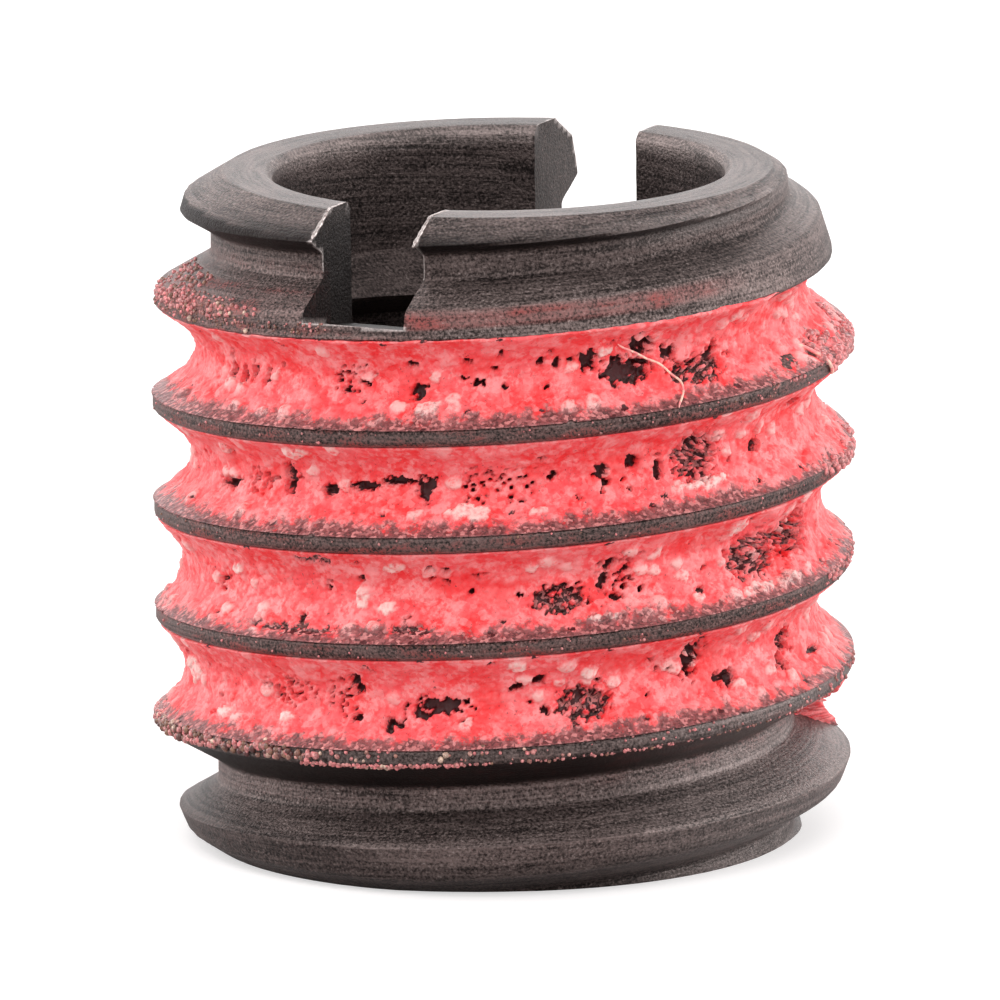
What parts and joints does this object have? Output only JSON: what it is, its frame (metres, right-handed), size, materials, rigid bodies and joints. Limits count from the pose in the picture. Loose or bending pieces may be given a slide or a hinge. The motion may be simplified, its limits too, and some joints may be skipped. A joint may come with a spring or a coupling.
{
  "type": "threaded insert",
  "caption": "Slotted steel threaded insert with outside and inside right-hand threads, a counterbored mouth and dried thread-locking adhesive in its middle grooves.",
  "frame": {"origin": "centre of the bottom end face, on the axis", "axes": "+Z along the axis, from the bottom end to the slotted end; -Y faces the camera of the picture; the slot runs 65 degrees from +X"},
  "size_m": [0.0126, 0.0126, 0.0123],
  "materials": {
    "oxide_steel": "matte dark oxide with fine turning lines",
    "dried_adhesive": "rough, pitted, pink to red"
  },
  "bodies": {
    "root": {"insert_body": "oxide_steel", "thread_locker": "dried_adhesive"}
  },
  "joints": []
}
